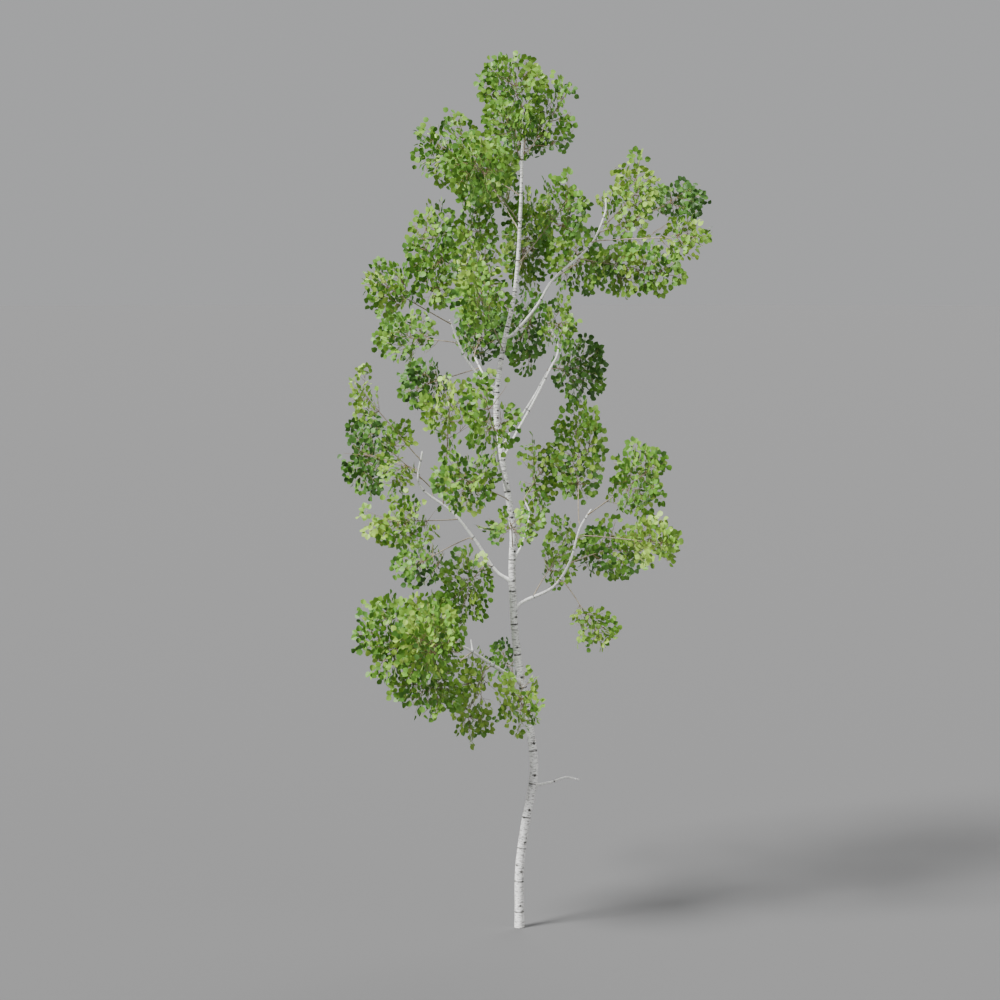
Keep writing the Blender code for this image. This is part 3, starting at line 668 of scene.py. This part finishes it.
class Space:
    """The room of one mass: an ellipsoid that its twigs and leaves stay inside."""

    def __init__(self, centre, half, windows):
        self.centre = Vector(centre)
        self.half = Vector(half)
        self.windows = windows
        self.spray_size = min(1.0, min(half) / FULL_SPRAY_ROOM)
        self.spray_length = SPRAY_LENGTH * self.spray_size

    def scaled(self, vector):
        return Vector(value / half for value, half in zip(vector, self.half))

    def area(self):
        """Surface of the ellipsoid, by Thomsen's formula."""
        x, y, z = (half**AREA_POWER for half in self.half)
        return 4 * math.pi * ((x * y + x * z + y * z) / 3) ** (1 / AREA_POWER)

    def holds(self, point):
        place = self.scaled(point - self.centre)
        tall = self.half.z / self.half.x
        for across, high, radius in self.windows:
            if math.hypot(place.x - across, (place.z - high) * tall) < radius:
                return False
        return place.length <= 1.0

    def reach(self, point, heading):
        """How far the space goes on from a point, along a heading."""
        start = self.scaled(point - self.centre)
        run = self.scaled(heading)
        square = run.length_squared
        middle = start.dot(run)
        inside = middle**2 - square * (start.length_squared - 1)
        return (math.sqrt(max(inside, 0.0)) - middle) / square


def upright_face(heading, tilt):
    """The side of a spray that hangs in an upright plane along its heading, but for the tilt."""
    face = heading.cross(Vector((0, 0, 1)))
    if face.length < STEEP_HEADING:
        face = heading.cross(Vector((0, 1, 0)))
    return Matrix.Rotation(tilt, 3, heading) @ face.normalized()


def plan_stem(limb_points, on_trunk, place, space):
    """The stem's way: out of its limb at a wide angle, to the middle of the space, and on."""
    if on_trunk:
        at_tip = place == TRUNK_WAY[-1][2]
        root, along = at_height(limb_points, place)
    else:
        at_tip = place == 1.0
        root, along = at_share(limb_points, place)
    heading = (space.centre - root).normalized()
    if at_tip:
        root = root + along * GAP
        start = root + along * TIP_START
    else:
        outwards = (heading - along * heading.dot(along)).normalized()
        leave = along * math.cos(STEM_SPREAD) + outwards * math.sin(STEM_SPREAD)
        start = root + leave * STEM_START
    heading = (space.centre - start).normalized()
    reach = space.reach(space.centre, heading) * PLACES_IN - space.spray_length
    end = space.centre + heading * max(reach, SHORTEST_STALK)
    return [root, start, space.centre.copy(), end]


def plan_places(stem, space, chance):
    """Where the sprays of a mass reach to: even round its space, but for where it is entered."""
    heading = (stem[3] - stem[2]).normalized()
    side = heading.orthogonal().normalized()
    other = heading.cross(side)
    count = round(space.area() / (PLACE_AREA * space.spray_size))
    turn = chance.uniform(0, 2 * math.pi)
    places = []
    for i in range(1, count):
        forward = 1 - (1 - PLACES_BACK) * i / (count - 1)
        ring = math.sqrt(1 - forward**2)
        angle = turn + PLACE_TURN * i
        around = side * math.cos(angle) + other * math.sin(angle)
        unit = heading * forward + around * ring
        places.append(space.centre + unit * space.half * PLACES_IN)
    return places


def best_root(ways, place, room):
    """The point of the stem and twigs that is near a place and behind it."""
    best = None
    for near, far in ways:
        along = (far - near).normalized()
        for share in ROOT_SHARES:
            root = near.lerp(far, share)
            run = place - root
            if run.length < room:
                continue
            cost = run.length * (STRAIGHT_WORTH - along.dot(run.normalized()))
            if best is None or cost < best[0]:
                best = (cost, root)
    return best and best[1]


def plan_shoots(stem, space, chance):
    """A mass's twigs and spurs: root, tip and tilt of each, and the ways that carry others."""
    ways = [(stem[1], stem[2]), (stem[2], stem[3])]
    shoots = []
    for place in plan_places(stem, space, chance):
        root = best_root(ways, place, space.spray_length + SHORTEST_STALK)
        tilt = chance.uniform(-SPRAY_TILT, SPRAY_TILT)
        if root:
            tip = place + (root - place).normalized() * space.spray_length
            if (tip - root).length > LONGEST_STALK:
                ways.append((root, tip))
            end = tip + (place - tip).normalized() * (space.spray_length - EDGE)
            shoots.append((root, end, tilt))
    return shoots, ways


def plan_finer(ways, space, chance, area, turned_share):
    """Finer twigs between the others, to places spread through a mass's outer part."""
    count = round(space.area() / area)
    start = chance.uniform(0, 2 * math.pi)
    shoots = []
    for i in range(count):
        high = 1 - 2 * (i + 0.5) / count
        ring = math.sqrt(1 - high**2)
        angle = start + PLACE_TURN * i
        unit = Vector((math.cos(angle) * ring, math.sin(angle) * ring, high))
        end = space.centre + unit * space.half * chance.uniform(0.4, 0.92)
        root = best_root(ways, end, SHORTEST_STALK)
        tilt = chance.uniform(-SPRAY_TILT, SPRAY_TILT)
        if chance.random() < turned_share:
            tilt += LEVEL_TURN
        if root and space.holds(end):
            shoots.append((root, end, tilt))
    return shoots


class Tubes:
    """Many thin tapering tubes as one curve, which then becomes one mesh."""

    def __init__(self, name, sides):
        self.curve = bpy.data.curves.new(name, "CURVE")
        self.curve.dimensions = "3D"
        self.curve.bevel_depth = 1.0
        self.curve.bevel_resolution = sides // 2 - 2
        self.curve.use_fill_caps = True

    def add(self, points, radii):
        spline = self.curve.splines.new("POLY")
        spline.points.add(len(points) - 1)
        for spot, point, radius in zip(spline.points, points, radii):
            spot.co = (*point, 1)
            spot.radius = radius

    def mesh(self, name):
        guide = add_object(name, self.curve)
        depsgraph = bpy.context.evaluated_depsgraph_get()
        mesh = bpy.data.meshes.new_from_object(guide.evaluated_get(depsgraph))
        bpy.data.objects.remove(guide)
        mesh.materials.clear()
        mesh.name = name
        return mesh


LEAF = 0.041  # length of a blade, in metres
LEAF_ROOM = 0.95  # least way between the middles of two leaves, as a share of a blade
EDGE = 0.040  # from a twig's tip to the edge of its mass
LEAF_SPACING = 0.030  # along a twig
TWIGLET_FIRST = 0.075  # from the twig's tip
TWIGLET_SPACING = 0.052
TWIGLET_LENGTHS = (0.05, 0.10)
STALK_SHARE = 0.52  # length of the leaf's stalk, as a share of the blade
STALK_TURN = 0.25  # how far a leaf's stalk strays from its place in the spray
LEAF_SIZES = (0.86, 1.12)
SIDE_LEAN = (40, 75)  # degrees from the twig to a leaf's stalk
TWIGLET_LEAN = (42, 62)
TIP_LEAVES = (6, 7, 7)  # round the tip of a twig that carries others
FINER_LEAVES = (5, 6)
TWIGLET_LEAVES = (4, 5)
BUD_SPACING = 0.035
BUD_KINK = 0.003
TONES = ("lime", "fresh", "mid", "deep", "shade")
# Masses whose sprays are dealt mostly pale greens, as painted light where the light falls full
# on the crown.
PAINTED_LIT_MASSES = {
    "far_left_wisp", "right_front_wing", "right_crown", "left_bright", "left_spike",
    "left_wing", "trunk_front_low", "right_drop", "low_drop", "right_tip_low",
}
# Masses at the back and inside the crown whose sprays are dealt mostly dark greens, as painted
# shade.
PAINTED_SHADE_MASSES = {
    "back_left", "back_high", "right_back_wing", "back_round", "far_left_back",
    "left_under", "back_low", "heart_back", "inner_drop",
}


# How often each green is dealt to a mass's sprays: pale greens as painted light, dark greens as
# painted shade, and a mix at random elsewhere.
def tone_weights(name):
    if name in PAINTED_LIT_MASSES:
        return (4, 4.5, 2, 0, 0)
    if name in PAINTED_SHADE_MASSES:
        return (0, 0, 2, 4, 3)
    return (1.2, 4, 4.5, 2.2, 0)


def bent(near, far, chance, sag):
    """A twig's way from one point to another: a slight bow, with a kink at each bud."""
    run = far - near
    length = run.length
    side = run.orthogonal().normalized()
    other = run.normalized().cross(side)
    count = max(2, round(length / BUD_SPACING))
    points = [near]
    for i in range(1, count):
        share = i / count
        bow = 4 * share * (1 - share)
        kink = chance.uniform(-BUD_KINK, BUD_KINK)
        drift = side * kink + other * chance.uniform(-BUD_KINK, BUD_KINK)
        points.append(near + run * share + drift - Vector((0, 0, sag * length * bow)))
    points.append(far)
    return points


class Foliage:
    """One mass's leaves: each one's foot on its twig, heading, face, size and tone."""

    def __init__(self, space, chance):
        self.space = space
        self.chance = chance
        self.leaves = []
        self.middles = []

    def grow(self, spots, face, size, tone):
        """Adds leaves, but for those that leave the space or would shade one that is there."""
        grown = []
        for foot, heading in spots:
            stray = self.chance.uniform(-STALK_TURN, STALK_TURN)
            heading = (heading + face * stray).normalized()
            leaf_size = size * self.chance.uniform(*LEAF_SIZES)
            length = LEAF * leaf_size
            middle = foot + heading * length * (STALK_SHARE + 0.5)
            clear = all((middle - other).length > LEAF_ROOM * length for other in self.middles)
            if clear and self.space.holds(middle + heading * length / 2):
                grown.append((middle, (foot, heading, face, leaf_size, tone)))
        self.middles += [middle for middle, _ in grown]
        self.leaves += [leaf for _, leaf in grown]
        return len(grown)

    def rosette(self, centre, heading, face, size, tone, count, open_back):
        """A twig's last leaves: a ring of them round its tip."""
        side = face.cross(heading)
        turn = self.chance.uniform(-STALK_TURN, STALK_TURN)
        spots = []
        for i in range(count):
            angle = (math.pi - open_back) * (2 * (i + 0.5) / count - 1) + turn
            spots.append((centre, heading * math.cos(angle) + side * math.sin(angle)))
        return self.grow(spots, face, size, tone)

    def side_leaves(self, way, heading, face, size, tone):
        """Leaves along a twig, one to each side in turn."""
        length = way_length(way)
        side = face.cross(heading)
        turn = self.chance.choice((-1, 1))
        along = self.chance.uniform(0.6, 1.0) * LEAF_SPACING
        while along < length - 0.5 * LEAF_SPACING:
            spot, _ = at_share(way, along / length)
            lean = math.radians(self.chance.uniform(*SIDE_LEAN))
            out = heading * math.cos(lean) + side * (turn * math.sin(lean))
            self.grow([(spot, out)], face, size, tone)
            turn = -turn
            along += LEAF_SPACING * self.chance.uniform(0.8, 1.2)

    def side_twigs(self, twigs, way, heading, face, size, tone):
        """Twiglets that leave a twig to each side in turn, and end in a few leaves each."""
        length = way_length(way)
        side = face.cross(heading)
        turn = self.chance.choice((-1, 1))
        back = TWIGLET_FIRST
        while back < length - 0.01:
            spot, _ = at_share(way, 1 - back / length)
            lean = math.radians(self.chance.uniform(*TWIGLET_LEAN))
            out = heading * math.cos(lean) + side * (turn * math.sin(lean))
            out = (out + face * self.chance.uniform(-0.18, 0.18)).normalized()
            shortest, longest = TWIGLET_LENGTHS
            reach = min(max(back * 0.8, shortest), longest)
            end = spot + out * reach * self.chance.uniform(0.8, 1.1)
            count = self.chance.choice(TWIGLET_LEAVES)
            if self.rosette(end, out, face, size * 0.95, tone, count, 0.9) > 1:
                twiglet = bent(spot, end, self.chance, 0.02)
                steps = len(twiglet)
                thin = [TWIGLET_RADIUS - TWIGLET_TAPER * k / steps for k in range(steps)]
                twigs.add(twiglet, thin)
            turn = -turn
            back += TWIGLET_SPACING * self.chance.uniform(0.85, 1.2)


stems = Tubes("stems", 6)
twigs = Tubes("twigs", 4)
foliage = {}
for seed, (name, (limb, place, centre, half)) in enumerate(MASSES.items()):
    chance = random.Random(seed)
    space = Space(centre, half, WINDOWS.get(name, ()))
    stem_tilt = chance.uniform(-SPRAY_TILT, SPRAY_TILT)
    line, _ = limb_lines[limb]
    stem = plan_stem(line, limb == "trunk", place, space)
    shoots, ways = plan_shoots(stem, space, chance)
    stem_way = smooth_way(stem, 6)
    last = len(stem_way) - 1
    stem_radii = []
    for i in range(last + 1):
        share = i / last
        radius = STEM_RADIUS * (1 - share) + STEM_END_RADIUS * share
        stem_radii.append(radius + STEM_SWELL * bump_at(share, 0.05))
    stems.add(stem_way, stem_radii)
    leaves = foliage[name] = Foliage(space, chance)
    size = 0.5 + 0.5 * space.spray_size
    weights = tone_weights(name)
    stem_end = stem[3] + (stem[3] - stem[2]).normalized() * (space.spray_length - EDGE)
    shoots = [(stem[3], stem_end, stem_tilt), *shoots]
    carriers = len(shoots)
    sprays = []
    area = FULL_AREA if name in FULL else FINER_AREA
    turned_share = MOST_TURNED if name in LEVEL else TURNED_SHARE
    finer = plan_finer(ways, space, chance, area, turned_share)
    for i, (root, end, tilt) in enumerate([*shoots, *finer]):
        if i < carriers and name in LEVEL and chance.random() < 0.5:
            tilt += LEVEL_TURN
        heading = (end - root).normalized()
        face = upright_face(heading, tilt)
        tone = chance.choices(range(len(TONES)), weights)[0]
        way = bent(root, end, chance, 0.03)
        count = chance.choice(TIP_LEAVES if i < carriers else FINER_LEAVES)
        grown = leaves.rosette(end, heading, face, size, tone, count, 0.3)
        is_long = (end - root).length > LONGEST_STALK
        if grown > 2 or (i < carriers and (grown or is_long)):
            thick = TWIG_RADIUS if is_long else SPUR_RADIUS
            steps = len(way) - 1
            thin = TWIG_END_RADIUS - thick
            twigs.add(way, [thick + thin * k / steps for k in range(steps + 1)])
            sprays.append((way, heading, face, size, tone))
    for spray in sprays:
        leaves.side_twigs(twigs, *spray)
    for spray in sprays:
        leaves.side_leaves(*spray)


STEM_BROWN = (0.26, 0.19, 0.12, 1.0)
STEM_GREY = (0.40, 0.36, 0.28, 1.0)
TWIG_RED = (0.17, 0.10, 0.045, 1.0)
TWIG_BROWN = (0.24, 0.17, 0.08, 1.0)
TWIG_PORE = (0.45, 0.38, 0.28, 1.0)
TWIG_RELIEF = 0.0004


def make_twig_bark(name, young, old):
    """Thin shining bark, red-brown, with small pale pores."""
    nodes = Nodes(name)
    place = nodes.add("ShaderNodeTexCoord", {}).outputs["Object"]
    clouds = nodes.noise(place, 45.0, 3.0, 0.6)
    colour = nodes.mix(nodes.range(clouds, 0.35, 0.7, 0.0, 1.0), young, old)
    pores = nodes.noise(place, 900.0, 1.0, 0.5)
    colour = nodes.mix(nodes.range(pores, 0.66, 0.72, 0.0, 0.6), colour, TWIG_PORE)
    return nodes.finish({"Base Color": colour, "Roughness": 0.5}, pores, 0.3, TWIG_RELIEF)


mass_names = list(MASSES)
stem_bark = make_twig_bark("stem_bark", STEM_BROWN, STEM_GREY)
twig_bark = make_twig_bark("twig_bark", TWIG_RED, TWIG_BROWN)
add_piece("stems", stems.mesh("stems"), stem_bark, mass_names)
add_piece("twigs", twigs.mesh("twigs"), twig_bark, mass_names)

# ----------------------------------------
# Leaves: nearly round blades with a short point, folded a little along the rib, each on a thin
# flat stalk. The upper side is fresh green and waxy and the under side is pale and dull. A
# spray's leaves share one tone of green.

LEAF_STATIONS = (0.0, 0.05, 0.20, 0.42, 0.64, 0.84, 1.0)
LEAF_HALF_WIDTHS = (0.0, 0.24, 0.42, 0.48, 0.42, 0.22, 0.0)
LEAF_RELIEF = 0.0008
LEAF_THICK = 0.008  # at the rib, as a share of the blade
STALK_RADII = (0.013, 0.010)  # the same, at the twig and at the blade
STALK_LAP = 0.03  # how far the stalk runs on under the blade
# Lime and fresh go mostly to the masses given painted light. Deep and shade, with the darker
# under side, go mostly to the back masses as painted shade. Elsewhere the greens are mixed at
# random.
GREENS = {
    "lime": (0.265, 0.43, 0.054, 1.0),
    "fresh": (0.17, 0.335, 0.035, 1.0),
    "mid": (0.108, 0.255, 0.025, 1.0),
    "deep": (0.065, 0.175, 0.019, 1.0),
    "shade": (0.037, 0.108, 0.012, 1.0),
}
UNDER_PALE = (0.225, 0.36, 0.10, 1.0)
UNDER_DEEP = (0.115, 0.215, 0.05, 1.0)
STALK_GREEN = (0.40, 0.42, 0.14, 1.0)
UNDER_SLOTS = (5, 5, 5, 6, 6)  # each tone's under side, among the finishes
STALK_SLOT = 7


def leaf_form(fold, droop, twist):
    """One leaf of unit length, from its foot on the twig: corners, triangles and their sides."""
    blade = bmesh.new()
    bmesh.ops.create_grid(blade, x_segments=6, y_segments=2, size=1.0)
    for vert in blade.verts:
        station = round((vert.co.x + 1) * 3)
        side = round(vert.co.y)
        along = LEAF_STATIONS[station]
        wide = LEAF_HALF_WIDTHS[station]
        high = fold * wide * abs(side) - droop * along**2
        vert.co = (along, side * wide, high + twist * side * wide * along)
    bmesh.ops.remove_doubles(blade, verts=blade.verts, dist=0.0001)
    bmesh.ops.triangulate(blade, faces=blade.faces)
    bmesh.ops.recalc_face_normals(blade, faces=blade.faces)
    if sum(face.normal.z for face in blade.faces) < 0:
        bmesh.ops.reverse_faces(blade, faces=blade.faces)
    upper = blade.faces[:]
    under = bmesh.ops.duplicate(blade, geom=blade.verts[:] + blade.edges[:] + upper)
    under_faces = [part for part in under["geom"] if isinstance(part, bmesh.types.BMFace)]
    bmesh.ops.reverse_faces(blade, faces=under_faces)
    for face in under_faces:
        face.material_index = 1
    for vert in [part for part in under["geom"] if isinstance(part, bmesh.types.BMVert)]:
        if not vert.is_boundary:
            vert.co.z -= LEAF_THICK
    bmesh.ops.remove_doubles(blade, verts=blade.verts, dist=0.0001)
    bmesh.ops.translate(blade, verts=blade.verts, vec=(STALK_SHARE, 0, 0))
    length = STALK_SHARE + STALK_LAP
    stalk = bmesh.ops.create_cone(
        blade, segments=3, radius1=STALK_RADII[0], radius2=STALK_RADII[1], depth=length
    )
    bmesh.ops.rotate(blade, verts=stalk["verts"], matrix=Matrix.Rotation(math.pi / 2, 3, "Y"))
    bmesh.ops.translate(blade, verts=stalk["verts"], vec=(length / 2, 0, 0))
    for face in {face for vert in stalk["verts"] for face in vert.link_faces}:
        face.material_index = 2
    bmesh.ops.triangulate(blade, faces=blade.faces)
    blade.verts.index_update()
    corners = np.array([vert.co[:] for vert in blade.verts])
    faces = np.array([[vert.index for vert in face.verts] for face in blade.faces])
    sides = np.array([face.material_index for face in blade.faces])
    blade.free()
    return corners, faces, sides


def limb_clearance(spots):
    """How far each spot lies from the nearest limb's skin."""
    nearest = np.full(len(spots), np.inf)
    for line, radii in limb_lines.values():
        for i in range(len(line) - 1):
            near, run = np.array(line[i]), np.array(line[i + 1] - line[i])
            share = np.clip((spots - near) @ run / (run @ run), 0.0, 1.0)
            away = np.linalg.norm(spots - near - share[:, None] * run, axis=1)
            nearest = np.minimum(nearest, away - max(radii[i], radii[i + 1]))
    return nearest


def make_leaf_finish(name, colour, roughness, coat):
    """A leaf's skin: one plain green, softly blistered, with a little wax."""
    nodes = Nodes(name)
    place = nodes.add("ShaderNodeTexCoord", {}).outputs["Object"]
    blisters = nodes.noise(place, 260.0, 2.0, 0.5)
    inputs = {"Base Color": colour, "Roughness": roughness, "Specular IOR Level": 0.35}
    inputs.update({"Coat Weight": coat, "Coat Roughness": 0.35})
    return nodes.finish(inputs, blisters, 0.25, LEAF_RELIEF)


leaf_finishes = [make_leaf_finish(f"leaf_{tone}", GREENS[tone], 0.5, 0.05) for tone in TONES]
leaf_finishes += [
    make_leaf_finish("leaf_under_pale", UNDER_PALE, 0.62, 0.0),
    make_leaf_finish("leaf_under_deep", UNDER_DEEP, 0.62, 0.0),
    make_leaf_finish("leaf_stalk", STALK_GREEN, 0.5, 0.0),
]
leaf_forms = [
    leaf_form(0.10, 0.06, 0.00),
    leaf_form(0.22, 0.16, 0.10),
    leaf_form(0.04, 0.22, -0.12),
    leaf_form(0.30, 0.02, 0.05),
]

LEAF_LIFT = Vector((0, 0, 0.25))  # how much an upper side turns up toward the light
LEAF_ROLL = 0.3  # the spread of the turns round their stalks, in radians
LIMB_CLEARANCE = 0.022  # from a leaf's middle to the nearest limb's skin
BARE_TRUNK = ((1.66, 3.28), (3.48, 4.25))  # heights where the trunk stands clear in front
BARE_MARGIN = 0.012  # to each side of it


def hides_trunk(middle):
    """Whether a leaf hangs before a stretch of the trunk that stands clear, from the front."""
    sight = middle - camera.location
    if middle.y > 0:
        return False
    spot = camera.location - sight * (camera.location.y / sight.y)
    trunk_point, _ = at_height(trunk_line, spot.z)
    if abs(spot.x - trunk_point.x) > trunk_radius(spot.z) + BARE_MARGIN:
        return False
    return any(low < spot.z < high for low, high in BARE_TRUNK)


def leaf_places(name):
    """A mass's leaves that stay in its space and clear of the limbs, with a frame for each."""
    chance = random.Random(f"{name} leaves")
    placed = []
    for foot, way, face, size, tone in foliage[name].leaves:
        face = (face if face.y < 0 else -face) + LEAF_LIFT
        turn = Matrix.Rotation(chance.gauss(0, LEAF_ROLL), 3, way)
        up = turn @ (face - way * way.dot(face))
        up.normalize()
        across = up.cross(way)
        length = LEAF * size
        frame = Matrix((way, across, up)).transposed() * length
        middle = foot + way * length * (STALK_SHARE + 0.5)
        if hides_trunk(middle):
            continue
        placed.append((foot, frame, tone, chance.randrange(len(leaf_forms)), middle))
    middles = np.array([leaf[-1] for leaf in placed])
    clear = limb_clearance(middles) > LIMB_CLEARANCE
    return [leaf for leaf, is_clear in zip(placed, clear) if is_clear]


def join_leaves(name, masses):
    """Copies of the leaf forms, set by arrays into one mesh with a slot for each tone."""
    corners = []
    faces = []
    slots = []
    count = 0
    for mass in masses:
        for foot, frame, tone, form, _ in leaf_places(mass):
            form_corners, form_faces, form_sides = leaf_forms[form]
            corners.append(form_corners @ np.array(frame).T + np.array(foot))
            faces.append(form_faces + count)
            slots.append(np.choose(form_sides, (tone, UNDER_SLOTS[tone], STALK_SLOT)))
            count += len(form_corners)
    mesh = bpy.data.meshes.new(name)
    mesh.from_pydata(np.concatenate(corners), [], np.concatenate(faces))
    for finish in leaf_finishes:
        mesh.materials.append(finish)
    mesh.polygons.foreach_set("material_index", np.concatenate(slots).astype(np.int32))
    mesh.update()
    return mesh


LEAF_PIECES = {"leaves_top": 4.85, "leaves_high": 4.1, "leaves_middle": 2.85, "leaves_low": 0.0}
left_over = list(MASSES)
for name, floor_height in LEAF_PIECES.items():
    masses = [mass for mass in left_over if MASSES[mass][2][2] > floor_height]
    left_over = [mass for mass in left_over if mass not in masses]
    leaf_mesh = join_leaves(name, masses)
    add_piece(name, leaf_mesh, None, masses)
